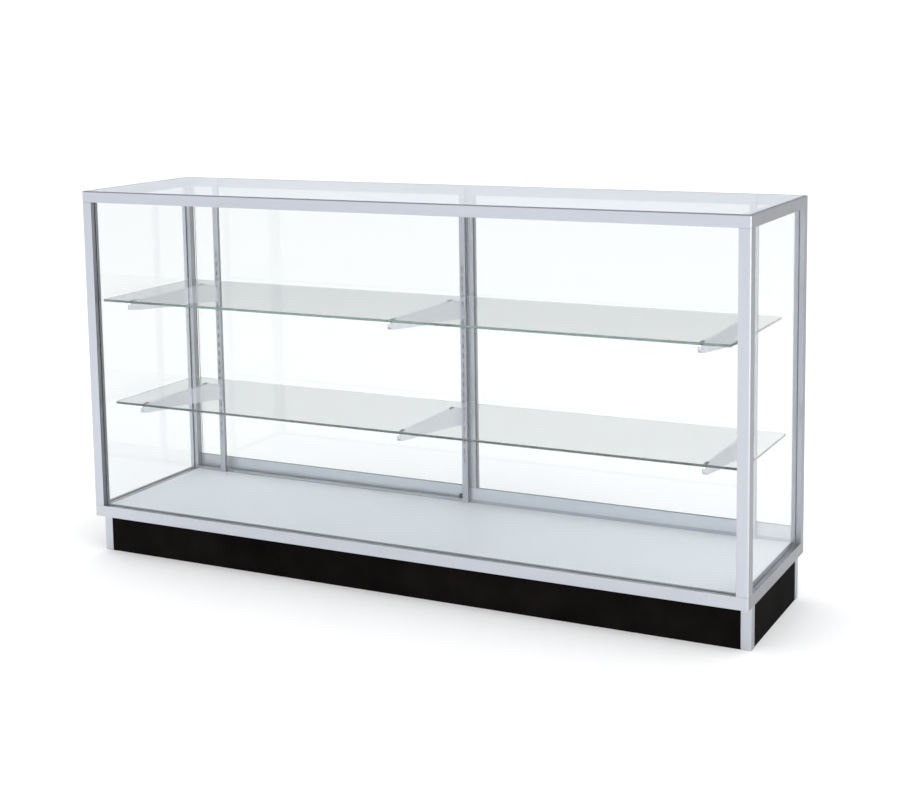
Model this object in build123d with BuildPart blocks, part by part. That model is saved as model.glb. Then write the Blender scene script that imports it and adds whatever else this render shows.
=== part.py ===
from build123d import *

import os

# Driving dimensions in millimetres. X runs along the case, +Y to the clerk's side, +Z up.
length = 1778.0
depth = 457.0
height = 965.0
kick_height = 102.0
bar = 28.6  # square section of every post and rail
wall = 2.2
corner_radius = 5.0
top_edge_radius = 3.5

# Glass and its seals
pane = 6.0
seal = 0.5
groove = pane + 2 * seal
groove_depth = 8.0
groove_inset = 11.0
seal_stand = 1.0
top_lip = 5.0
top_rabbet = 7.0
top_glass_gap = 1.0
top_seal_height = 0.8
top_seal_width = 5.5
end_chamfer = 0.6

# Corner keys and their screws
post_hollow = bar - groove_depth - 2 * wall
key_width = 24.0
key_leg = 70.0
peg_length = 60.0
top_hollow_low = 13.2
top_hollow_high = 19.4
screw_from_corner = 45.0

# Base and deck
deck_thickness = 16.0
base_panel_thickness = 12.0
deck_clearance = 0.5
kick_side_inset = 4.9
kick_front_inset = 35.5
kick_rear_inset = 39.5
board = 16.0
brace_x = 300.0
trim_leg = 24.0
trim_thickness = 1.5

# Sliding doors
door_pitch = 12.6
outer_door_inset = 8.0
shoe_width = 10.4
shoe_height = 35.0
shoe_gap = 1.2
door_end_gap = 1.0
stile_width = 22.0
stile_depth = 10.4
stile_pocket = 10.0
meeting_low_x = 4.0
guide_depth = 12.0
guide_channel_depth = 11.0
glass_in_guide = 5.5
track_base = 1.5
track_lip = 1.2
track_lip_height = 4.9
roller_radius = 8.0
roller_width = 5.0
axle_radius = 2.0
axle_clearance = 0.05
shoe_bore_clearance = 0.02
roller_from_end = 90.0
stop_length = 30.0

# Shelf standards, brackets and shelves
standard_x = 768.0
standard_width = 16.0
standard_depth = 10.0
standard_wall = 1.5
slot_pitch = 25.4
slot_width = 3.4
slot_height = 13.0
slot_count = 21
first_slot = 237.5
bracket_width = 10.0
bracket_sheet = 1.5
bracket_nose_height = 17.0
bracket_nose_radius = 13.0
bracket_brow_radius = 3.0
bracket_rear_height = 57.0
bracket_ramp = 60.0
bracket_ramp_drop = 15.0
hook_below_top = 30.0
hook_neck = 7.0
hook_tail = 5.0
hook_thickness = 2.4
cushion = 1.5
lower_shelf_length = 1704.0
upper_shelf_length = 1690.0
upper_shelf_shift = -6.0  # this shelf lies a little to the left on its brackets
shelf_rear_y = 180.0
lower_shelf_depth = 349.0
upper_shelf_depth = 384.0
lower_slot = 5
upper_slot = 16

# Places worked out from the driving dimensions
half_length = length / 2
half_depth = depth / 2
bottom_rail_top = kick_height + bar
top_rail_low = height - bar
inside_x = half_length - bar
inside_y = half_depth - bar
deck_low = kick_height + base_panel_thickness
deck_top = deck_low + deck_thickness
pane_inset = bar - groove_depth + 1.0
pane_low = bottom_rail_top - groove_depth + 1.0
pane_high = top_rail_low + groove_depth - 1.0
top_seat_z = height - top_rabbet
pane_y = half_depth - groove_inset - groove / 2
pane_x = half_length - groove_inset - groove / 2
outer_door_y = half_depth - outer_door_inset
inner_door_y = outer_door_y - door_pitch
track_floor = bottom_rail_top + track_base
shoe_low = track_floor + shoe_gap
shoe_top = shoe_low + shoe_height
roller_z = track_floor + roller_radius
door_glass_low = shoe_top - 14.3
door_glass_high = top_rail_low + glass_in_guide
stile_low = shoe_top + 0.9
stile_high = top_rail_low - 1.5
door_outer_x = inside_x - door_end_gap
meeting_high_x = meeting_low_x + stile_width
standard_front_y = inside_y - standard_depth
standard_top = height - 8.0
kick_x = half_length - kick_side_inset
kick_front_y = -half_depth + kick_front_inset
kick_rear_y = half_depth - kick_rear_inset

os.makedirs("parts", exist_ok=True)
pieces = {}


def block(low, high):
    """A plain rectangular solid between two corners."""
    with BuildPart() as solid:
        with BuildSketch(Plane.XY.offset(low[2])):
            with Locations(((low[0] + high[0]) / 2, (low[1] + high[1]) / 2)):
                Rectangle(high[0] - low[0], high[1] - low[1])
        extrude(amount=high[2] - low[2])
    return solid.part


def strip_frame(low, high, opening_low, opening_high, glass_low, glass_high):
    """A seal round a pane: the grooves' filling less the clear opening and the pane."""
    with BuildPart() as ring:
        add(block(low, high))
        add(block(opening_low, opening_high), mode=Mode.SUBTRACT)
        add(block(glass_low, glass_high), mode=Mode.SUBTRACT)
    return ring.part


# The outside of the metal frame, with its rounded vertical corners and eased top edge
with BuildPart() as envelope:
    with BuildSketch(Plane.XY.offset(kick_height)):
        RectangleRounded(length, depth, corner_radius)
    extrude(amount=height - kick_height)
    fillet(envelope.edges().group_by(Axis.Z)[-1], top_edge_radius)


# Screws that hold the corner keys: countersunk into the rails, from above and from below
with BuildPart() as key_screw:
    with BuildSketch(Plane.XZ):
        with BuildLine():
            Polyline((0, 0), (3.6, 0), (2.0, -1.6), (2.0, -7.5), (0, -7.5), close=True)
        make_face()
    revolve(axis=Axis.Z)
    with Locations((0, 0, -0.4)):
        Box(4.6, 0.9, 0.8, mode=Mode.SUBTRACT)
        Box(0.9, 4.6, 0.8, mode=Mode.SUBTRACT)

screw_spots = []
for side in (-1, 1):
    for face in (-1, 1):
        near_x = side * (half_length - screw_from_corner)
        near_y = face * (half_depth - screw_from_corner)
        screw_spots.append((near_x, face * (half_depth - bar / 2)))
        screw_spots.append((side * (half_length - bar / 2), near_y))

with BuildPart() as frame_screws:
    for spot in screw_spots:
        with Locations(Location((spot[0], spot[1], top_seat_z))):
            add(key_screw.part)
        with Locations(Location((spot[0], spot[1], kick_height), (180, 0, 0))):
            add(key_screw.part)
pieces["frame_screws"] = frame_screws

# The same screws without their drive slots, to bore the rails and keys
with BuildPart() as screw_bores:
    for spot in screw_spots:
        with Locations((spot[0], spot[1], top_seat_z - 0.8)):
            Cone(2.0, 3.6, 1.6)
        with Locations((spot[0], spot[1], top_seat_z - 4.0)):
            Cylinder(2.0, 8.0)
        with Locations((spot[0], spot[1], kick_height + 0.8)):
            Cone(3.6, 2.0, 1.6)
        with Locations((spot[0], spot[1], kick_height + 4.0)):
            Cylinder(2.0, 8.0)


def corner_post(side, face):
    """One upright: hollow at its outer corner, grooved for the panes that meet it."""
    hollow_centre = wall + post_hollow / 2
    with BuildPart() as post:
        with BuildSketch(Plane.XY.offset(bottom_rail_top)):
            with Locations((side * (half_length - bar / 2), face * (half_depth - bar / 2))):
                Rectangle(bar, bar)
            with Locations((side * (half_length - hollow_centre), face * (half_depth - hollow_centre))):
                Rectangle(post_hollow, post_hollow, mode=Mode.SUBTRACT)
            with Locations((side * pane_x, face * (inside_y + groove_depth / 2))):
                Rectangle(groove, groove_depth, mode=Mode.SUBTRACT)
            if face < 0:
                with Locations((side * (inside_x + groove_depth / 2), face * pane_y)):
                    Rectangle(groove_depth, groove, mode=Mode.SUBTRACT)
        extrude(amount=top_rail_low - bottom_rail_top)
        add(envelope.part, mode=Mode.INTERSECT)
        ends = post.edges().group_by(Axis.Z)[0] + post.edges().group_by(Axis.Z)[-1]
        outside_x = half_length - 0.9 * wall
        outside_y = half_depth - 0.9 * wall
        outer_edges = [e for e in ends if abs(e.center().X) > outside_x or abs(e.center().Y) > outside_y]
        chamfer(outer_edges, end_chamfer)
    return post.part


with BuildPart() as post_front_left:
    add(corner_post(-1, -1))
pieces["post_front_left"] = post_front_left

with BuildPart() as post_front_right:
    add(corner_post(1, -1))
pieces["post_front_right"] = post_front_right

with BuildPart() as post_rear_left:
    add(corner_post(-1, 1))
pieces["post_rear_left"] = post_rear_left

with BuildPart() as post_rear_right:
    add(corner_post(1, 1))
pieces["post_rear_right"] = post_rear_right


def mitred_rail(along_x, sign, low, peg_span, cuts):
    """One rail of a mitred frame. Each cut is inset, width, low and high in its section."""
    near = half_depth if along_x else half_length
    run = half_length if along_x else half_depth
    outline = [
        (-run, sign * near),
        (run, sign * near),
        (run - bar, sign * (near - bar)),
        (bar - run, sign * (near - bar)),
    ]
    if not along_x:
        outline = [(y, x) for x, y in outline]
    peg_x = half_length - wall - post_hollow / 2
    peg_y = half_depth - wall - post_hollow / 2
    with BuildPart() as rail:
        with BuildSketch(Plane.XY.offset(low)):
            with BuildLine():
                Polyline(*outline, close=True)
            make_face()
        extrude(amount=bar)
        for inset, width, cut_low, cut_high in cuts:
            middle = sign * (near - inset - width / 2)
            with BuildSketch(Plane.XY.offset(low + cut_low)):
                with Locations((0, middle) if along_x else (middle, 0)):
                    Rectangle(
                        2 * run if along_x else width,
                        width if along_x else 2 * run,
                    )
            extrude(amount=cut_high - cut_low, mode=Mode.SUBTRACT)
        with BuildSketch(Plane.XY.offset(low + peg_span[0])):
            with GridLocations(2 * peg_x, 2 * peg_y, 2, 2):
                Rectangle(post_hollow, post_hollow)
        extrude(amount=peg_span[1] - peg_span[0], mode=Mode.SUBTRACT)
        add(screw_bores.part, mode=Mode.SUBTRACT)
        add(envelope.part, mode=Mode.INTERSECT)
    return rail.part


top_hollow = (wall, bar - 2 * wall, top_hollow_low, top_hollow_high)
top_seat = (top_lip, bar - top_lip, bar - top_rabbet, bar)
pane_slot_up = (groove_inset, groove, 0, groove_depth)
guide_slot = (wall + 0.1, key_width, 0, guide_depth)
bottom_hollow = (wall, bar - 2 * wall, wall, bar - groove_depth - wall)
pane_slot_down = (groove_inset, groove, bar - groove_depth, bar)
top_peg = (0, top_hollow_low)
bottom_peg = (bar - groove_depth - wall, bar)

with BuildPart() as top_rail_front:
    add(mitred_rail(True, -1, top_rail_low, top_peg, [top_hollow, top_seat, pane_slot_up]))
pieces["top_rail_front"] = top_rail_front

with BuildPart() as top_rail_rear:
    add(mitred_rail(True, 1, top_rail_low, top_peg, [top_hollow, top_seat, guide_slot]))
pieces["top_rail_rear"] = top_rail_rear

with BuildPart() as top_rail_left:
    add(mitred_rail(False, -1, top_rail_low, top_peg, [top_hollow, top_seat, pane_slot_up]))
pieces["top_rail_left"] = top_rail_left

with BuildPart() as top_rail_right:
    add(mitred_rail(False, 1, top_rail_low, top_peg, [top_hollow, top_seat, pane_slot_up]))
pieces["top_rail_right"] = top_rail_right

with BuildPart() as bottom_rail_front:
    add(mitred_rail(True, -1, kick_height, bottom_peg, [bottom_hollow, pane_slot_down]))
pieces["bottom_rail_front"] = bottom_rail_front

with BuildPart() as bottom_rail_rear:
    add(mitred_rail(True, 1, kick_height, bottom_peg, [bottom_hollow]))
pieces["bottom_rail_rear"] = bottom_rail_rear

with BuildPart() as bottom_rail_left:
    add(mitred_rail(False, -1, kick_height, bottom_peg, [bottom_hollow, pane_slot_down]))
pieces["bottom_rail_left"] = bottom_rail_left

with BuildPart() as bottom_rail_right:
    add(mitred_rail(False, 1, kick_height, bottom_peg, [bottom_hollow, pane_slot_down]))
pieces["bottom_rail_right"] = bottom_rail_right


# Corner keys: an L plate inside two rails with a square peg inside the post
key_play = 0.1
with BuildPart() as corner_keys:
    for side in (-1, 1):
        for face in (-1, 1):
            out_x = side * (half_length - wall - key_play)
            out_y = face * (half_depth - wall - key_play)
            leg_x = side * (key_leg - wall) / 2
            leg_y = face * (key_leg - wall) / 2
            half_key = key_width / 2
            half_peg = post_hollow / 2 - key_play
            for plate_low, plate_high, peg_low, peg_high in (
                (
                    top_rail_low + top_hollow_low + key_play,
                    top_rail_low + top_hollow_high - key_play,
                    top_rail_low - peg_length,
                    top_rail_low + top_hollow_low + key_play,
                ),
                (
                    kick_height + wall + key_play,
                    bottom_rail_top - groove_depth - wall - key_play,
                    bottom_rail_top - groove_depth - wall - key_play,
                    bottom_rail_top + peg_length,
                ),
            ):
                with BuildSketch(Plane.XY.offset(plate_low)):
                    with Locations((out_x - leg_x, out_y - face * half_key)):
                        Rectangle(key_leg - wall, key_width)
                    with Locations((out_x - side * half_key, out_y - leg_y)):
                        Rectangle(key_width, key_leg - wall)
                extrude(amount=plate_high - plate_low)
                with BuildSketch(Plane.XY.offset(peg_low)):
                    with Locations((out_x - side * half_peg, out_y - face * half_peg)):
                        Rectangle(2 * half_peg, 2 * half_peg)
                extrude(amount=peg_high - peg_low)
    add(screw_bores.part, mode=Mode.SUBTRACT)
pieces["corner_keys"] = corner_keys


# Fixed glass and its seals
front_low = (-half_length + pane_inset, -pane_y - pane / 2, pane_low)
front_high = (half_length - pane_inset, -pane_y + pane / 2, pane_high)
with BuildPart() as front_glass:
    add(block(front_low, front_high))
pieces["front_glass"] = front_glass

side_half = half_depth - pane_inset
with BuildPart() as left_glass:
    add(block((-pane_x - pane / 2, -side_half, pane_low), (-pane_x + pane / 2, side_half, pane_high)))
pieces["left_glass"] = left_glass

with BuildPart() as right_glass:
    add(block((pane_x - pane / 2, -side_half, pane_low), (pane_x + pane / 2, side_half, pane_high)))
pieces["right_glass"] = right_glass

# The top pane lies in the rails' seat, just below their lips
top_glass_low = top_seat_z + top_seal_height
top_glass_x = half_length - top_lip - top_glass_gap
top_glass_y = half_depth - top_lip - top_glass_gap
with BuildPart() as top_glass:
    add(block((-top_glass_x, -top_glass_y, top_glass_low), (top_glass_x, top_glass_y, top_glass_low + pane)))
    chamfer(top_glass.edges().group_by(Axis.Z)[-1], 0.5)
pieces["top_glass"] = top_glass

clear_x = inside_x - seal_stand
clear_y = inside_y - seal_stand
clear_low = bottom_rail_top + seal_stand
clear_high = top_rail_low - seal_stand
with BuildPart() as front_seal:
    add(
        strip_frame(
            (front_low[0] - 1, -pane_y - groove / 2, pane_low - 1),
            (front_high[0] + 1, -pane_y + groove / 2, pane_high + 1),
            (-clear_x, -pane_y - groove, clear_low),
            (clear_x, -pane_y + groove, clear_high),
            front_low,
            front_high,
        )
    )
pieces["front_seal"] = front_seal

with BuildPart() as side_seals:
    for side in (-1, 1):
        add(
            strip_frame(
                (side * pane_x - groove / 2, -side_half - 1, pane_low - 1),
                (side * pane_x + groove / 2, side_half + 1, pane_high + 1),
                (side * pane_x - groove, -clear_y, clear_low),
                (side * pane_x + groove, clear_y, clear_high),
                (side * pane_x - pane / 2, -side_half, pane_low),
                (side * pane_x + pane / 2, side_half, pane_high),
            )
        )
pieces["side_seals"] = side_seals

seat_x = half_length - top_lip
seat_y = half_depth - top_lip
with BuildPart() as top_seal:
    add(
        strip_frame(
            (-seat_x, -seat_y, top_seat_z),
            (seat_x, seat_y, top_glass_low + pane - 0.7),
            (top_seal_width - seat_x, top_seal_width - seat_y, top_seat_z - 1),
            (seat_x - top_seal_width, seat_y - top_seal_width, height),
            (-top_glass_x, -top_glass_y, top_glass_low),
            (top_glass_x, top_glass_y, height),
        )
    )
pieces["top_seal"] = top_seal


# Deck and base
deck_x = inside_x - deck_clearance
deck_y = inside_y - deck_clearance
with BuildPart() as deck_panel:
    add(block((-deck_x, -deck_y, deck_low), (deck_x, deck_y, deck_top)))
    chamfer(deck_panel.edges().group_by(Axis.Z)[-1], 0.8)
pieces["deck_panel"] = deck_panel

with BuildPart() as base_panel:
    add(block((-deck_x, -deck_y, kick_height), (deck_x, deck_y, deck_low)))
pieces["base_panel"] = base_panel

with BuildPart() as kick_board_front:
    add(block((-kick_x, kick_front_y, 0), (kick_x, kick_front_y + board, kick_height)))
pieces["kick_board_front"] = kick_board_front

with BuildPart() as kick_board_rear:
    add(block((-kick_x, kick_rear_y - board, 0), (kick_x, kick_rear_y, kick_height)))
pieces["kick_board_rear"] = kick_board_rear

side_board_low = kick_front_y + board
side_board_high = kick_rear_y - board
with BuildPart() as kick_board_left:
    add(block((-kick_x, side_board_low, 0), (board - kick_x, side_board_high, kick_height)))
pieces["kick_board_left"] = kick_board_left

with BuildPart() as kick_board_right:
    add(block((kick_x - board, side_board_low, 0), (kick_x, side_board_high, kick_height)))
pieces["kick_board_right"] = kick_board_right

with BuildPart() as kick_braces:
    for x in (-brace_x, brace_x):
        add(block((x - board / 2, side_board_low, 0), (x + board / 2, side_board_high, kick_height)))
pieces["kick_braces"] = kick_braces

with BuildPart() as kick_corner_trims:
    for side in (-1, 1):
        for face, face_y in ((-1, kick_front_y), (1, kick_rear_y)):
            outer_x = side * (kick_x + trim_thickness)
            outer_y = face_y + face * trim_thickness
            with BuildSketch(Plane.XY):
                with Locations((outer_x - side * trim_leg / 2, outer_y - face * trim_thickness / 2)):
                    Rectangle(trim_leg, trim_thickness)
                with Locations((outer_x - side * trim_thickness / 2, outer_y - face * trim_leg / 2)):
                    Rectangle(trim_thickness, trim_leg)
            extrude(amount=kick_height)
    corners = kick_corner_trims.edges().filter_by(Axis.Z)
    outer_corners = [edge for edge in corners if abs(edge.center().X) > kick_x + 0.9 * trim_thickness]
    outer_corners = [
        edge
        for edge in outer_corners
        if not kick_front_y - 0.9 * trim_thickness < edge.center().Y < kick_rear_y + 0.9 * trim_thickness
    ]
    fillet(outer_corners, 1.2)
pieces["kick_corner_trims"] = kick_corner_trims


# Door track, lower: three lips on a base, screwed down on the rear rail
track_front_y = inner_door_y - door_pitch / 2 - track_lip / 2
track_back_y = outer_door_y + door_pitch / 2 + track_lip / 2
with BuildPart() as lower_track:
    add(block((-inside_x, track_front_y, bottom_rail_top), (inside_x, track_back_y, track_floor)))
    for y in (track_front_y, track_front_y + door_pitch, track_front_y + 2 * door_pitch):
        add(block((-inside_x, y, track_floor), (inside_x, y + track_lip, track_floor + track_lip_height)))
pieces["lower_track"] = lower_track

# Door guide, upper: a two-channel plastic strip pushed into the rear top rail
guide_y = half_depth - wall - 0.1 - key_width / 2
with BuildPart() as upper_guide:
    add(
        block(
            (-inside_x, guide_y - key_width / 2, top_rail_low),
            (inside_x, guide_y + key_width / 2, top_rail_low + guide_depth),
        )
    )
    for y in (inner_door_y, outer_door_y):
        add(
            block(
                (-inside_x, y - groove / 2, top_rail_low),
                (inside_x, y + groove / 2, top_rail_low + guide_channel_depth),
            ),
            mode=Mode.SUBTRACT,
        )
pieces["upper_guide"] = upper_guide


def door_parts(side, y):
    """The pieces of one sliding door. side is -1 for the left door, 1 for the right."""
    if side < 0:
        low_x, high_x = -door_outer_x, meeting_high_x
        glass_low_x, glass_high_x = -door_outer_x, meeting_high_x - stile_pocket
        stile_glass = (meeting_low_x - 1, meeting_high_x - stile_pocket)
        stop_low_x = meeting_high_x
    else:
        low_x, high_x = meeting_low_x, door_outer_x
        glass_low_x, glass_high_x = meeting_low_x + stile_pocket, door_outer_x
        stile_glass = (meeting_low_x + stile_pocket, meeting_high_x + 1)
        stop_low_x = meeting_low_x - stop_length
    roller_xs = (low_x + roller_from_end, high_x - roller_from_end)

    with BuildPart() as glass:
        add(block((glass_low_x, y - pane / 2, door_glass_low), (glass_high_x, y + pane / 2, door_glass_high)))

    with BuildPart() as shoe:
        add(block((low_x, y - shoe_width / 2, shoe_low), (high_x, y + shoe_width / 2, shoe_top)))
        add(
            block(
                (low_x, y - groove / 2, door_glass_low - 1),
                (high_x, y + groove / 2, shoe_top),
            ),
            mode=Mode.SUBTRACT,
        )
        add(
            block((low_x, y - 3.2, shoe_low), (high_x, y + 3.2, roller_z + roller_radius + 2)),
            mode=Mode.SUBTRACT,
        )
        for x in roller_xs:
            with Locations(Location((x, y, roller_z), (90, 0, 0))):
                Cylinder(axle_radius + shoe_bore_clearance, shoe_width + 1, mode=Mode.SUBTRACT)

    with BuildPart() as glazing:
        add(
            block(
                (low_x, y - groove / 2, door_glass_low - 1),
                (high_x, y + groove / 2, shoe_top + 0.8),
            )
        )
        add(
            block((glass_low_x, y - pane / 2, door_glass_low), (glass_high_x, y + pane / 2, shoe_top + 1)),
            mode=Mode.SUBTRACT,
        )

    with BuildPart() as stile:
        add(
            block(
                (meeting_low_x, y - stile_depth / 2, stile_low),
                (meeting_high_x, y + stile_depth / 2, stile_high),
            )
        )
        add(
            block((stile_glass[0], y - pane / 2, stile_low), (stile_glass[1], y + pane / 2, stile_high)),
            mode=Mode.SUBTRACT,
        )
        fillet(stile.edges().filter_by(Axis.Z).group_by(SortBy.DISTANCE)[-1], 0.6)

    with BuildPart() as stop:
        add(block((stop_low_x, y - 4, shoe_low + 0.3), (stop_low_x + stop_length, y + 4, shoe_low + 14)))
        fillet(stop.edges().filter_by(Axis.Y), 2)

    with BuildPart() as axles:
        for x in roller_xs:
            with Locations(Location((x, y, roller_z), (90, 0, 0))):
                Cylinder(axle_radius, shoe_width)

    rollers = []
    for x in roller_xs:
        with BuildPart() as roller:
            with Locations(Location((x, y, roller_z), (90, 0, 0))):
                Cylinder(roller_radius, roller_width)
                Cylinder(axle_radius + axle_clearance, roller_width, mode=Mode.SUBTRACT)
        rollers.append(roller)
    return glass, shoe, glazing, stile, stop, axles, rollers


for door_name, side, door_y in (("left", -1, outer_door_y), ("right", 1, inner_door_y)):
    glass, shoe, glazing, stile, stop, axles, rollers = door_parts(side, door_y)
    pieces[door_name + "_door_glass"] = glass
    pieces[door_name + "_door_shoe"] = shoe
    pieces[door_name + "_door_glazing"] = glazing
    pieces[door_name + "_door_stile"] = stile
    pieces[door_name + "_door_stop"] = stop
    pieces[door_name + "_door_axles"] = axles
    pieces[door_name + "_door_roller_left"] = rollers[0]
    pieces[door_name + "_door_roller_right"] = rollers[1]


def shelf_standard(x):
    """A slotted rectangular tube, from the deck up to the rear top rail."""
    with BuildPart() as tube:
        with BuildSketch(Plane.XY.offset(deck_top)):
            with Locations((x, standard_front_y + standard_depth / 2)):
                Rectangle(standard_width, standard_depth)
                Rectangle(
                    standard_width - 2 * standard_wall,
                    standard_depth - 2 * standard_wall,
                    mode=Mode.SUBTRACT,
                )
        extrude(amount=standard_top - deck_top)
        fillet(tube.edges().filter_by(Axis.Z).group_by(Axis.Y)[0], 1.0)
        for count in range(slot_count):
            slot_middle = first_slot + count * slot_pitch + slot_height / 2
            with Locations((x, standard_front_y + standard_wall / 2, slot_middle)):
                Box(slot_width, 2 * standard_wall, slot_height, mode=Mode.SUBTRACT)
        with Locations(Location((x, standard_front_y, standard_top - 8), (90, 0, 0))):
            Cylinder(2.0, 3 * standard_depth, mode=Mode.SUBTRACT)
    return tube.part


with BuildPart() as standard_left:
    add(shelf_standard(-standard_x))
pieces["standard_left"] = standard_left

with BuildPart() as standard_centre:
    add(shelf_standard(0))
pieces["standard_centre"] = standard_centre

with BuildPart() as standard_right:
    add(shelf_standard(standard_x))
pieces["standard_right"] = standard_right

# One pan-head screw through the top of each standard, tight against the rail
with BuildPart() as standard_screws:
    for x in (-standard_x, 0, standard_x):
        shank_y = standard_front_y + (standard_depth - 0.2) / 2
        with Locations(Location((x, shank_y, standard_top - 8), (90, 0, 0))):
            Cylinder(1.95, standard_depth - 0.2)
        with Locations(Location((x, standard_front_y - 1.1, standard_top - 8), (90, 0, 0))):
            Cylinder(3.6, 2.2)
    fillet(standard_screws.edges().filter_by(GeomType.CIRCLE).group_by(Axis.Y)[0], 1.2)
pieces["standard_screws"] = standard_screws


def shelf_bracket(x, slot, shelf_depth):
    """A folded knife bracket, open underneath, hooked into two slots of its standard."""
    top = first_slot + slot * slot_pitch + hook_below_top
    back = standard_front_y
    tip = shelf_rear_y - shelf_depth
    nose_low = top - bracket_nose_height
    with BuildPart() as bracket:
        with BuildSketch(Plane.YZ.offset(x - bracket_width / 2)) as side_view:
            with BuildLine():
                Polyline(
                    (tip, top),
                    (back - bracket_ramp, top),
                    (back, top - bracket_ramp_drop),
                    (back, top - bracket_rear_height),
                    (tip, nose_low),
                    close=True,
                )
            make_face()
            fillet(side_view.vertices().group_by(Axis.X)[0].sort_by(Axis.Y)[0], bracket_nose_radius)
            fillet(side_view.vertices().group_by(Axis.Y)[-1].sort_by(Axis.X)[0], bracket_brow_radius)
        extrude(amount=bracket_width)
        with BuildSketch(Plane.YZ.offset(x - bracket_width / 2 + bracket_sheet)):
            with BuildLine():
                Polyline(
                    (tip + 7, top - bracket_sheet),
                    (back - bracket_ramp, top - bracket_sheet),
                    (back - bracket_sheet, top - bracket_ramp_drop - bracket_sheet),
                    (back - bracket_sheet, top - bracket_rear_height),
                    (tip + 7, top - bracket_rear_height),
                    close=True,
                )
            make_face()
        extrude(amount=bracket_width - 2 * bracket_sheet, mode=Mode.SUBTRACT)
        with BuildSketch(Plane.XY.offset(top - 2 * bracket_rear_height)):
            with Locations((x, (tip + back) / 2)):
                SlotOverall(back - tip, bracket_width, rotation=90)
            with Locations((x, back - bracket_width / 2)):
                Rectangle(bracket_width, bracket_width)
        extrude(amount=3 * bracket_rear_height, mode=Mode.INTERSECT)
        for slot_low in (top - hook_below_top, top - hook_below_top - slot_pitch):
            neck_y = back + (standard_wall + 0.2 - bracket_sheet + hook_thickness) / 2
            with Locations((x, neck_y, slot_low + hook_neck / 2)):
                Box(hook_thickness, standard_wall + 0.2 + bracket_sheet + hook_thickness, hook_neck)
            tail_y = back + standard_wall + 0.2 + hook_thickness / 2
            with Locations((x, tail_y, slot_low + (hook_neck - hook_tail) / 2)):
                Box(hook_thickness, hook_thickness, hook_neck + hook_tail)
    return bracket.part


for place, x in (("left", -standard_x), ("centre", 0.0), ("right", standard_x)):
    with BuildPart() as lower_bracket:
        add(shelf_bracket(x, lower_slot, lower_shelf_depth))
    pieces["lower_bracket_" + place] = lower_bracket
    with BuildPart() as upper_bracket:
        add(shelf_bracket(x, upper_slot, upper_shelf_depth))
    pieces["upper_bracket_" + place] = upper_bracket

lower_bracket_top = first_slot + lower_slot * slot_pitch + hook_below_top
upper_bracket_top = first_slot + upper_slot * slot_pitch + hook_below_top

# Rubber pads between the brackets and the shelves
with BuildPart() as bracket_cushions:
    for top, shelf_depth in ((lower_bracket_top, lower_shelf_depth), (upper_bracket_top, upper_shelf_depth)):
        for y in (shelf_rear_y - shelf_depth + 22, standard_front_y - bracket_ramp - 12):
            with BuildSketch(Plane.XY.offset(top)):
                with Locations((-standard_x, y), (0, y), (standard_x, y)):
                    SlotOverall(20, 8, rotation=90)
            extrude(amount=cushion)
pieces["bracket_cushions"] = bracket_cushions


def shelf(bracket_top, middle_x, shelf_length, shelf_depth):
    """A loose glass shelf with rounded corners and eased edges."""
    with BuildPart() as sheet:
        with BuildSketch(Plane.XY.offset(bracket_top + cushion)):
            with Locations((middle_x, shelf_rear_y - shelf_depth / 2)):
                RectangleRounded(shelf_length, shelf_depth, 4)
        extrude(amount=pane)
        chamfer(sheet.edges().group_by(Axis.Z)[-1], 0.6)
        chamfer(sheet.edges().group_by(Axis.Z)[0], 0.6)
    return sheet.part


with BuildPart() as lower_shelf_glass:
    add(shelf(lower_bracket_top, 0, lower_shelf_length, lower_shelf_depth))
pieces["lower_shelf_glass"] = lower_shelf_glass

with BuildPart() as upper_shelf_glass:
    add(shelf(upper_bracket_top, upper_shelf_shift, upper_shelf_length, upper_shelf_depth))
pieces["upper_shelf_glass"] = upper_shelf_glass


for name, piece in pieces.items():
    piece.part.label = name
    export_step(piece.part, "parts/" + name + ".step")
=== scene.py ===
import math

import bpy
from mathutils import Matrix, Vector


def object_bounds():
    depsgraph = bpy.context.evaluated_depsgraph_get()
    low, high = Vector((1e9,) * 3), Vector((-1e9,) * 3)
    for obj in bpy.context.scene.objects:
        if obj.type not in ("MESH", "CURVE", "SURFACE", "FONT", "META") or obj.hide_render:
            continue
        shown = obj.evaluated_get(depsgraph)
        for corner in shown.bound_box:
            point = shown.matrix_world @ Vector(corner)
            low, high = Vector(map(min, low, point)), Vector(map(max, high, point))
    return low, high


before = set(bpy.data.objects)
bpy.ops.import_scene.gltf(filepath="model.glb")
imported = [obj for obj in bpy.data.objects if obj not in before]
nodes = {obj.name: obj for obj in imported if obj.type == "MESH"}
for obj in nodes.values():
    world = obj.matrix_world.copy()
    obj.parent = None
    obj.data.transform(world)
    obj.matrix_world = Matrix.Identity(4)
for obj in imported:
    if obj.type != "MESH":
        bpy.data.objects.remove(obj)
cad_low, cad_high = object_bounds()

# Camera, in metres and degrees, looking at the front from its right-hand end
CAMERA_AT = (1.865, -3.541, 1.338)
CAMERA_AZIMUTH = 26.99
CAMERA_ELEVATION = 7.34
CAMERA_ROLL = -0.88
LENS_MM = 65.2
SENSOR_MM = 36.0
SHIFT_Y = -1 / 6
SEEN_TO = 300.0  # past the far edge of the floor

# Floor
FLOOR_HALF = 60.0
FLOOR_DARK = (0.90, 0.905, 0.91, 1)
FLOOR_LIGHT = (0.92, 0.925, 0.93, 1)

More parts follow.
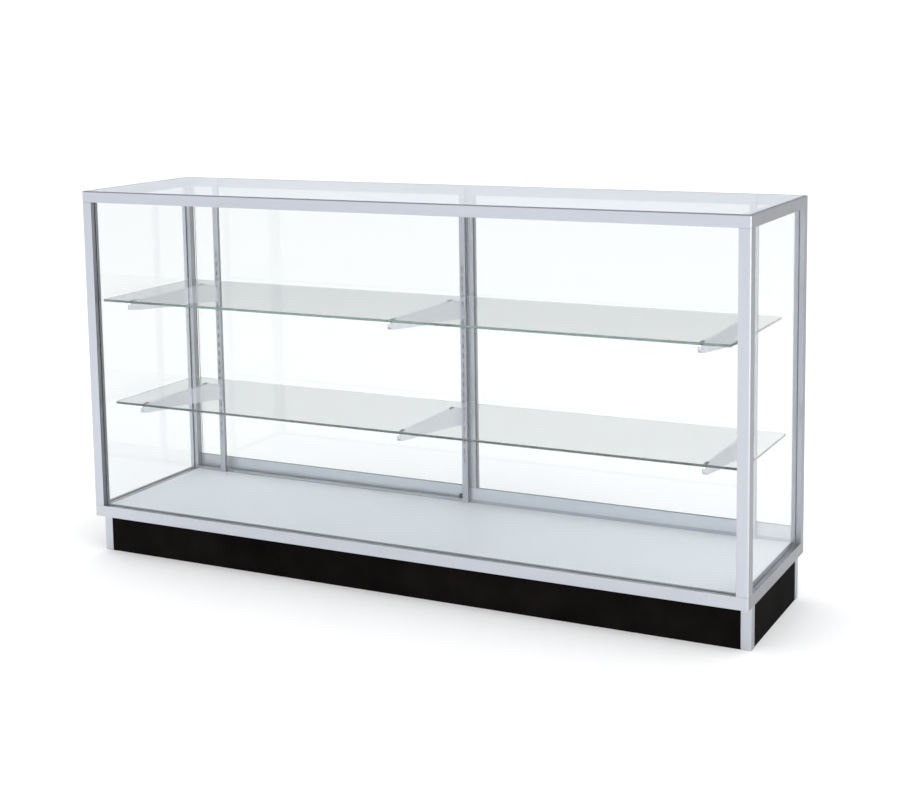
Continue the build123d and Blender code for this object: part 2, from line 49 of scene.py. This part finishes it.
# Light from all round
WHITE = (1, 1, 1, 1)
WHITE_LEVEL = 1.22
SHINE_COLOUR = (0.885, 0.925, 0.99, 1)
SHINE_LEVEL = 1.10  # what the metal mirrors
RIGHT_SHADE = 0.72  # how much of the shine is lost towards the right-hand end
TOP_SHADE = 0.8  # and straight up
THROUGH_COLOUR = (0.95, 0.98, 1.0, 1)
THROUGH_LEVEL = 1.04  # what reaches the inside through the upright panes
BACK_SHADE = 0.47  # how much of that is lost low down behind the case
ABOVE_LEVEL = 3.8  # what comes down through the glass top

# Lamps: place, size, power in watts and how much of it matt surfaces take
LAMPS = {
    "overhead": ((-0.3, -0.6, 4.2), (5.0, 4.0), 25.0, 0.35),
    "key": ((5.6, -3.0, 1.7), (1.6, 2.6), 110.0, 0.08),
}

# Nearly all of a noise's values lie between these two
NOISE_LOW = 0.3
NOISE_HIGH = 0.7


# ---------------------------------------------------------------- node helpers


def new_material(name):
    """An empty node material and its tree."""
    material = bpy.data.materials.new(name)
    material.use_nodes = True
    material.node_tree.nodes.clear()
    return material, material.node_tree


def add_node(tree, kind, **settings):
    """A node with its attributes set; inputs are given as {name or index: value} in `inputs`."""
    node = tree.nodes.new(kind)
    inputs = settings.pop("inputs", {})
    for key, value in settings.items():
        setattr(node, key, value)
    for key, value in inputs.items():
        node.inputs[key].default_value = value
    return node


def object_place(tree, scale=(1, 1, 1)):
    """The point in metres, stretched by scale."""
    place = add_node(tree, "ShaderNodeTexCoord")
    stretch = add_node(tree, "ShaderNodeMapping", inputs={"Scale": scale})
    tree.links.new(place.outputs["Object"], stretch.inputs["Vector"])
    return stretch.outputs["Vector"]


def noise(tree, place, scale, detail=3.0, roughness=0.55, distortion=0.0):
    """Fractal noise around 0.5."""
    node = add_node(
        tree,
        "ShaderNodeTexNoise",
        inputs={"Scale": scale, "Detail": detail, "Roughness": roughness, "Distortion": distortion},
    )
    tree.links.new(place, node.inputs["Vector"])
    return node.outputs["Fac"]


def remap(tree, value, low, high, to_low, to_high):
    """A clamped linear map of one number."""
    node = add_node(
        tree,
        "ShaderNodeMapRange",
        inputs={"From Min": low, "From Max": high, "To Min": to_low, "To Max": to_high},
    )
    tree.links.new(value, node.inputs["Value"])
    return node.outputs["Result"]


def math_node(tree, operation, first, second=0.0):
    """One Math node on one or two values, each a socket or a number."""
    node = add_node(tree, "ShaderNodeMath", operation=operation)
    for index, value in enumerate((first, second)):
        if isinstance(value, (int, float)):
            node.inputs[index].default_value = value
        else:
            tree.links.new(value, node.inputs[index])
    return node.outputs["Value"]


def blend_colours(tree, factor, first, second):
    """A colour mixed from two colours, each a socket or a tuple."""
    node = add_node(tree, "ShaderNodeMix", data_type="RGBA")
    tree.links.new(factor, node.inputs["Factor"])
    for socket, value in ((node.inputs[6], first), (node.inputs[7], second)):
        if isinstance(value, tuple):
            socket.default_value = value
        else:
            tree.links.new(value, socket)
    return node.outputs[2]


def toned(tree, value, dark, light, low=NOISE_LOW, high=NOISE_HIGH):
    """A colour that goes from dark to light as the value goes from low to high."""
    return blend_colours(tree, remap(tree, value, low, high, 0.0, 1.0), dark, light)


def facing(tree):
    """The way the surface faces, as X, Y and Z outputs."""
    place = add_node(tree, "ShaderNodeTexCoord")
    parts = add_node(tree, "ShaderNodeSeparateXYZ")
    tree.links.new(place.outputs["Normal"], parts.inputs["Vector"])
    return parts.outputs


def bump(tree, height, strength, distance):
    """A bump of that height field."""
    node = add_node(tree, "ShaderNodeBump", inputs={"Strength": strength, "Distance": distance})
    tree.links.new(height, node.inputs["Height"])
    return node.outputs["Normal"]


def surface(tree, colour, roughness, normal=None, **constants):
    """A Principled surface as the material's output, with constants set straight on its sockets."""
    shader = add_node(tree, "ShaderNodeBsdfPrincipled", inputs=constants)
    for name, value in (("Base Color", colour), ("Roughness", roughness)):
        if isinstance(value, (float, tuple)):
            shader.inputs[name].default_value = value
        else:
            tree.links.new(value, shader.inputs[name])
    if normal is not None:
        tree.links.new(normal, shader.inputs["Normal"])
    output = add_node(tree, "ShaderNodeOutputMaterial")
    tree.links.new(shader.outputs["BSDF"], output.inputs["Surface"])
    return output


# ---------------------------------------------------------------- materials

GRAIN_ALONG, GRAIN_ACROSS = 1.5, 1400
STREAK_ALONG, STREAK_ACROSS = 1.2, 22
GRAIN_SHARE = 0.55  # of the tone; the rest is streaks
# The colour of the painted shade on extrusion faces that look along X or upwards
PAINTED_SHADE_COLOUR = (0.20, 0.195, 0.20, 1)


def stretched(tree, axis, along, across):
    """The point with one scale along an axis and another across it."""
    return object_place(tree, [along if letter == axis else across for letter in "xyz"])


def anodised(name, along, light, dark, painted_shade_share):
    """Satin anodised extrusion: die lines along its length, faint streaks and handling marks.

    Faces that look along X or upwards get painted shade, a darker tone that stands in for the dimmer
    surroundings they mirror, by the given share.
    """
    material, tree = new_material(name)
    grain = noise(tree, stretched(tree, along, GRAIN_ALONG, GRAIN_ACROSS), 1.0, 2.0)
    streaks = noise(tree, stretched(tree, along, STREAK_ALONG, STREAK_ACROSS), 1.0, 3.0)
    marks = noise(tree, object_place(tree), 9.0, 6.0, 0.62, 0.4)
    grain_part = math_node(tree, "MULTIPLY", grain, GRAIN_SHARE)
    streak_part = math_node(tree, "MULTIPLY", streaks, 1 - GRAIN_SHARE)
    colour = toned(tree, math_node(tree, "ADD", grain_part, streak_part), dark, light)
    # Painted shade: faces that look along X or upwards are darkened, standing in for the dimmer
    # surroundings they mirror
    faces = facing(tree)
    ends = remap(tree, math_node(tree, "ABSOLUTE", faces["X"]), 0.7, 0.97, 0.0, 1.0)
    tops = remap(tree, faces["Z"], 0.3, 0.8, 0.0, 1.0)
    painted_shade_mask = math_node(tree, "MULTIPLY", math_node(tree, "MAXIMUM", ends, tops), painted_shade_share)
    colour = blend_colours(tree, painted_shade_mask, colour, PAINTED_SHADE_COLOUR)
    satin = remap(tree, grain, NOISE_LOW, NOISE_HIGH, 0.40, 0.50)
    rough = math_node(tree, "ADD", satin, remap(tree, marks, 0.5, 0.75, 0.0, 0.07))
    normal = bump(tree, grain, 0.18, 0.00006)
    surface(tree, colour, rough, normal, Metallic=1.0)
    return material


def glass(name, tint, density, edge_rough):
    """Clear float glass: absorption in the body and faint smears on its faces.

    edge_rough is the roughness of the faces that don't look up or down: a level pane's ground edges.
    """
    material, tree = new_material(name)
    place = object_place(tree)
    smears = noise(tree, place, 5.0, 5.0, 0.6, 1.2)
    on_face = remap(tree, smears, 0.5, 0.8, 0.0, 0.012)
    on_edge = remap(tree, math_node(tree, "ABSOLUTE", facing(tree)["Z"]), 0.6, 0.9, edge_rough, 0.0)
    rough = math_node(tree, "MAXIMUM", on_face, on_edge)
    clear = {"Transmission Weight": 1.0, "IOR": 1.5}
    output = surface(tree, (1.0, 1.0, 1.0, 1.0), rough, **clear)
    absorb = add_node(tree, "ShaderNodeVolumeAbsorption", inputs={"Color": tint, "Density": density})
    tree.links.new(absorb.outputs["Volume"], output.inputs["Volume"])
    return material


def rubber(name, dark, light):
    """Matt extruded rubber or vinyl with a fine chalky grain."""
    material, tree = new_material(name)
    place = object_place(tree)
    dust = noise(tree, place, 60.0, 5.0, 0.6)
    grain = noise(tree, place, 2500.0, 2.0)
    colour = toned(tree, dust, dark, light, 0.4, 0.75)
    rough = remap(tree, dust, NOISE_LOW, NOISE_HIGH, 0.55, 0.75)
    surface(tree, colour, rough, bump(tree, grain, 0.25, 0.0001), **{"Specular IOR Level": 0.4})
    return material


def white_laminate(name):
    """White melamine: a trace of mottling and fine orange peel."""
    material, tree = new_material(name)
    place = object_place(tree)
    mottle = noise(tree, place, 14.0, 6.0, 0.6)
    peel = noise(tree, place, 900.0, 2.0)
    colour = toned(tree, mottle, (0.845, 0.88, 0.91, 1), (0.87, 0.90, 0.925, 1))
    rough = remap(tree, mottle, NOISE_LOW, NOISE_HIGH, 0.42, 0.46)
    surface(tree, colour, rough, bump(tree, peel, 0.12, 0.00012), **{"Specular IOR Level": 0.4})
    return material


def black_laminate(name):
    """Black board facing with a fine crystal texture and a faint brown cloud."""
    material, tree = new_material(name)
    place = object_place(tree)
    crystal = noise(tree, place, 1600.0, 3.0, 0.6)
    cloud = noise(tree, place, 7.0, 5.0, 0.6)
    colour = toned(tree, cloud, (0.003, 0.0026, 0.0024, 1), (0.008, 0.0066, 0.0058, 1), low=0.35)
    rough = remap(tree, crystal, NOISE_LOW, NOISE_HIGH, 0.7, 0.85)
    surface(tree, colour, rough, bump(tree, crystal, 0.2, 0.0001), **{"Specular IOR Level": 0.03})
    return material


def raw_board(name):
    """Unfaced chipboard: a brown mottle over raised flakes."""
    material, tree = new_material(name)
    place = object_place(tree)
    flakes = add_node(tree, "ShaderNodeTexVoronoi", inputs={"Scale": 260.0})
    tree.links.new(place, flakes.inputs["Vector"])
    shade = noise(tree, place, 120.0, 5.0, 0.6)
    colour = toned(tree, shade, (0.33, 0.22, 0.12, 1), (0.56, 0.43, 0.27, 1))
    rough = remap(tree, shade, NOISE_LOW, NOISE_HIGH, 0.7, 0.9)
    surface(tree, colour, rough, bump(tree, flakes.outputs["Distance"], 0.3, 0.0006))
    return material


def nylon(name):
    """Natural nylon, slightly waxy."""
    material, tree = new_material(name)
    place = object_place(tree)
    shade = noise(tree, place, 90.0, 4.0, 0.6)
    colour = toned(tree, shade, (0.64, 0.635, 0.60, 1), (0.76, 0.755, 0.73, 1))
    rough = remap(tree, shade, NOISE_LOW, NOISE_HIGH, 0.36, 0.5)
    surface(tree, colour, rough, bump(tree, shade, 0.1, 0.0002))
    return material


def plated_steel(name, light, dark, low_rough, high_rough):
    """Plated steel with cloudy tone and fine brushed scratches."""
    material, tree = new_material(name)
    cloud = noise(tree, object_place(tree), 45.0, 5.0, 0.62, 0.6)
    scratch = noise(tree, object_place(tree, (500, 60, 500)), 1.0, 2.0)
    colour = toned(tree, cloud, dark, light, low=0.32)
    rough = remap(tree, scratch, NOISE_LOW, NOISE_HIGH, low_rough, high_rough)
    surface(tree, colour, rough, bump(tree, scratch, 0.12, 0.00006), Metallic=1.0)
    return material


FRAME_LIGHT = (0.61, 0.635, 0.685, 1)
FRAME_DARK = (0.54, 0.56, 0.605, 1)
# How much painted shade the frame's end and top faces get
FRAME_PAINTED_SHADE = 0.66

MATERIALS = {
    "anodised_x": anodised("anodised_x", "x", FRAME_LIGHT, FRAME_DARK, FRAME_PAINTED_SHADE),
    "anodised_y": anodised("anodised_y", "y", FRAME_LIGHT, FRAME_DARK, FRAME_PAINTED_SHADE),
    "anodised_z": anodised("anodised_z", "z", FRAME_LIGHT, FRAME_DARK, FRAME_PAINTED_SHADE),
    "trim": anodised("trim", "z", (0.60, 0.625, 0.67, 1), (0.53, 0.55, 0.595, 1), 0.4),
    "bright": anodised("bright", "x", (0.80, 0.83, 0.88, 1), (0.72, 0.75, 0.80, 1), 0.3),
    "clear_glass": glass("clear_glass", (0.36, 0.44, 0.46, 1), 20.0, 0.0),
    "shelf_glass": glass("shelf_glass", (0.66, 0.86, 0.81, 1), 5.0, 0.35),
    "rubber": rubber("rubber", (0.016, 0.016, 0.018, 1), (0.05, 0.05, 0.054, 1)),
    "grey_vinyl": rubber("grey_vinyl", (0.26, 0.265, 0.28, 1), (0.38, 0.385, 0.40, 1)),
    "white_laminate": white_laminate("white_laminate"),
    "black_laminate": black_laminate("black_laminate"),
    "raw_board": raw_board("raw_board"),
    "nylon": nylon("nylon"),
    "zinc": plated_steel("zinc", (0.66, 0.67, 0.68, 1), (0.50, 0.50, 0.49, 1), 0.28, 0.42),
    "casting": plated_steel("casting", (0.46, 0.46, 0.47, 1), (0.33, 0.33, 0.34, 1), 0.5, 0.65),
    "satin_steel": plated_steel("satin_steel", (0.84, 0.86, 0.89, 1), (0.72, 0.74, 0.78, 1), 0.30, 0.42),
}


def material_for(name):
    """The finish of one CAD node, by what the piece is."""
    upright = ("post_", "standard_left", "standard_centre", "standard_right")
    if name.startswith(upright) or name.endswith("_stile"):
        return "anodised_z"
    if name.endswith(("rail_left", "rail_right")):
        return "anodised_y"
    if name.endswith("_shoe"):
        return "bright"
    if "_rail_" in name or name == "lower_track":
        return "anodised_x"
    if name.endswith("shelf_glass"):
        return "shelf_glass"
    if name.endswith("_glass"):
        return "clear_glass"
    if "seal" in name or name.endswith("_glazing"):
        return "grey_vinyl"
    if name.endswith(("_stop", "_cushions")):
        return "rubber"
    if "roller" in name or name == "upper_guide":
        return "nylon"
    if name.startswith("kick_board"):
        return "black_laminate"
    if name in ("base_panel", "kick_braces"):
        return "raw_board"
    if "_bracket_" in name:
        return "satin_steel"
    if name.endswith(("_screws", "_axles")):
        return "zinc"
    return {"deck_panel": "white_laminate", "corner_keys": "casting", "kick_corner_trims": "trim"}[name]


for name, node in nodes.items():
    node.data.materials.clear()
    node.data.materials.append(MATERIALS[material_for(name)])


# ---------------------------------------------------------------- studio


def studio_world():
    """White all round, but what the metal mirrors is dimmer to the right and overhead.

    Light that comes in through a pane is white too, except low down behind the case.
    """
    world = bpy.data.worlds.new("studio")
    bpy.context.scene.world = world
    world.use_nodes = True
    tree = world.node_tree
    tree.nodes.clear()
    place = add_node(tree, "ShaderNodeTexCoord")
    parts = add_node(tree, "ShaderNodeSeparateXYZ")
    tree.links.new(place.outputs["Generated"], parts.inputs["Vector"])
    toward_x, toward_y, toward_z = parts.outputs
    right = remap(tree, toward_x, 0.15, 0.85, SHINE_LEVEL, SHINE_LEVEL * (1 - RIGHT_SHADE))
    top = remap(tree, toward_z, 0.25, 0.8, 1.0, 1 - TOP_SHADE)
    back = remap(tree, toward_y, 0.2, 0.7, THROUGH_LEVEL, THROUGH_LEVEL * (1 - BACK_SHADE))
    high = remap(tree, toward_z, 0.2, 0.7, 0.0, ABOVE_LEVEL)
    mirrored = add_node(tree, "ShaderNodeBackground", inputs={"Color": SHINE_COLOUR})
    tree.links.new(math_node(tree, "MULTIPLY", right, top), mirrored.inputs["Strength"])
    through = add_node(tree, "ShaderNodeBackground", inputs={"Color": THROUGH_COLOUR})
    tree.links.new(math_node(tree, "MAXIMUM", back, high), through.inputs["Strength"])
    white = add_node(tree, "ShaderNodeBackground", inputs={"Color": WHITE, "Strength": WHITE_LEVEL})
    path = add_node(tree, "ShaderNodeLightPath")
    shiny = add_node(tree, "ShaderNodeMixShader")
    tree.links.new(path.outputs["Is Glossy Ray"], shiny.inputs["Fac"])
    tree.links.new(white.outputs["Background"], shiny.inputs[1])
    tree.links.new(mirrored.outputs["Background"], shiny.inputs[2])
    mixed = add_node(tree, "ShaderNodeMixShader")
    tree.links.new(path.outputs["Is Transmission Ray"], mixed.inputs["Fac"])
    tree.links.new(shiny.outputs["Shader"], mixed.inputs[1])
    tree.links.new(through.outputs["Background"], mixed.inputs[2])
    output = add_node(tree, "ShaderNodeOutputWorld")
    tree.links.new(mixed.outputs["Shader"], output.inputs["Surface"])


def studio_floor():
    """A large pale floor."""
    mesh = bpy.data.meshes.new("floor")
    corners = [(x * FLOOR_HALF, y * FLOOR_HALF, 0) for x, y in ((-1, -1), (1, -1), (1, 1), (-1, 1))]
    mesh.from_pydata(corners, [], [(0, 1, 2, 3)])
    floor = bpy.data.objects.new("floor", mesh)
    bpy.context.scene.collection.objects.link(floor)
    material, tree = new_material("floor_paint")
    speckle = noise(tree, object_place(tree), 3.0, 4.0)
    colour = blend_colours(tree, speckle, FLOOR_DARK, FLOOR_LIGHT)
    surface(tree, colour, 0.9, **{"Specular IOR Level": 0.0})
    mesh.materials.append(material)


def softbox(name, at, target, size, power, matt_share):
    """An area lamp at a place, facing a target; matt surfaces take only a share of it."""
    lamp = bpy.data.lights.new(name, "AREA")
    lamp.shape = "RECTANGLE"
    lamp.size, lamp.size_y = size
    lamp.energy = power
    lamp.diffuse_factor = matt_share
    holder = bpy.data.objects.new(name, lamp)
    bpy.context.scene.collection.objects.link(holder)
    turn = (target - Vector(at)).to_track_quat("-Z", "Y").to_matrix().to_4x4()
    holder.matrix_world = Matrix.Translation(at) @ turn


def camera():
    """The camera: level direction from azimuth and elevation, then its small roll."""
    azimuth = math.radians(CAMERA_AZIMUTH)
    elevation = math.radians(CAMERA_ELEVATION)
    level = math.cos(elevation)
    forward = Vector((-math.sin(azimuth) * level, math.cos(azimuth) * level, -math.sin(elevation)))
    data = bpy.data.cameras.new("camera")
    data.lens = LENS_MM
    data.sensor_width = SENSOR_MM
    data.sensor_fit = "HORIZONTAL"
    data.shift_y = SHIFT_Y
    data.clip_end = SEEN_TO
    holder = bpy.data.objects.new("camera", data)
    bpy.context.scene.collection.objects.link(holder)
    turn = forward.to_track_quat("-Z", "Y").to_matrix().to_4x4()
    roll = Matrix.Rotation(math.radians(CAMERA_ROLL), 4, "Z")
    holder.matrix_world = Matrix.Translation(CAMERA_AT) @ turn @ roll
    bpy.context.scene.camera = holder


studio_world()
studio_floor()
middle = (cad_low + cad_high) / 2
for name, (at, size, power, matt_share) in LAMPS.items():
    softbox(name, at, middle, size, power, matt_share)
camera()

scene = bpy.context.scene
scene.view_settings.view_transform = "Standard"
scene.cycles.max_bounces = 24
scene.cycles.transmission_bounces = 20
scene.cycles.glossy_bounces = 8
scene.cycles.diffuse_bounces = 5
scene.cycles.transparent_max_bounces = 12
scene.cycles.use_denoising = True
